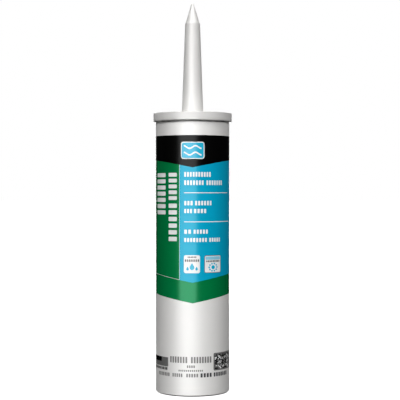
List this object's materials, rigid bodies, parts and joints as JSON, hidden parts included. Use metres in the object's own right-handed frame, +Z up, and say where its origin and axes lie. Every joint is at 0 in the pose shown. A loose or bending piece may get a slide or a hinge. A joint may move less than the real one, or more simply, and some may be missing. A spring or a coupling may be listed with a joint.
{
  "type": "caulk tube",
  "caption": "Upright caulk cartridge: open-ended plastic barrel with a flanged cap and long tapered nozzle, filled with sealant and closed by a sliding plunger.",
  "frame": {"origin": "middle of the barrel's bottom rim, on the surface that the tube stands on", "axes": "+Z up the tube's axis to the nozzle's tip; the printed front faces -Y and +X is to its right"},
  "size_m": [0.0542, 0.0542, 0.2675],
  "materials": {
    "barrel_plastic": "satin",
    "cap_plastic": "satin",
    "seal_foil": "bright",
    "sealant_paste": "wet",
    "plunger_plastic": "satin"
  },
  "bodies": {
    "cartridge_body": {"barrel": "barrel_plastic", "nozzle_end": "cap_plastic", "foil_seal": "seal_foil", "sealant": "sealant_paste"},
    "plunger_body": {"plunger": "plunger_plastic"}
  },
  "joints": [
    {"name": "plunger_slide", "type": "slide", "parent": "cartridge_body", "child": "plunger_body", "axis": [0, 0, 1], "range_m": [0, 0.1632], "deforming": ["sealant"]}
  ]
}
